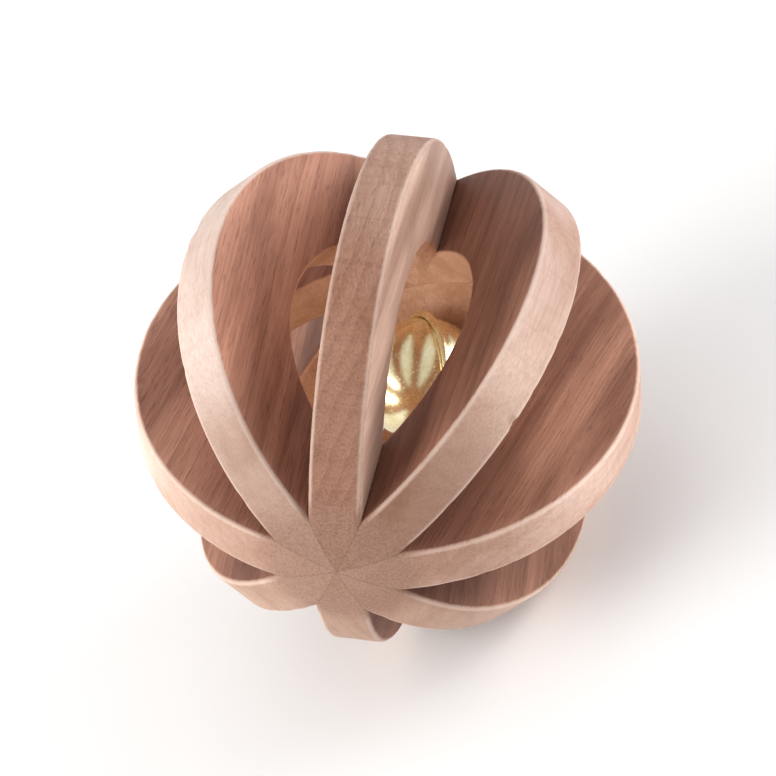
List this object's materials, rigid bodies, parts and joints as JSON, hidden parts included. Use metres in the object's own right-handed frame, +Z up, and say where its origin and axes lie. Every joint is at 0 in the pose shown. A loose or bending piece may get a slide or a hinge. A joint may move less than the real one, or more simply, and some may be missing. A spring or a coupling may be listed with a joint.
{
  "type": "slatted wooden ball with a bell",
  "caption": "Hollow wooden ball of half-ring slats set round a common axis, with a loose round bell trapped inside that rings as the ball rolls.",
  "frame": {"origin": "centre of the ball, where the long axis through both hubs crosses its middle plane", "axes": "+Y along the ball's long axis towards the rear hub, +Z up with the ball at rest on its two lowest slats, +X to the right as seen from the front hub"},
  "size_m": [0.0574, 0.06, 0.0574],
  "materials": {
    "wood": "bare sanded wood, with darker flat faces and lighter rims",
    "bell_metal": "polished gold-coloured plate",
    "wire": "polished gold-coloured wire",
    "pellet_steel": "dull tumbled iron"
  },
  "bodies": {
    "root": {"slat_1": "wood", "slat_2": "wood", "slat_3": "wood", "slat_4": "wood", "slat_5": "wood", "slat_6": "wood", "slat_7": "wood", "slat_8": "wood", "bell_upper_shell": "bell_metal", "bell_lower_shell": "bell_metal", "bell_loop": "wire", "bell_pellet": "pellet_steel"}
  },
  "joints": []
}
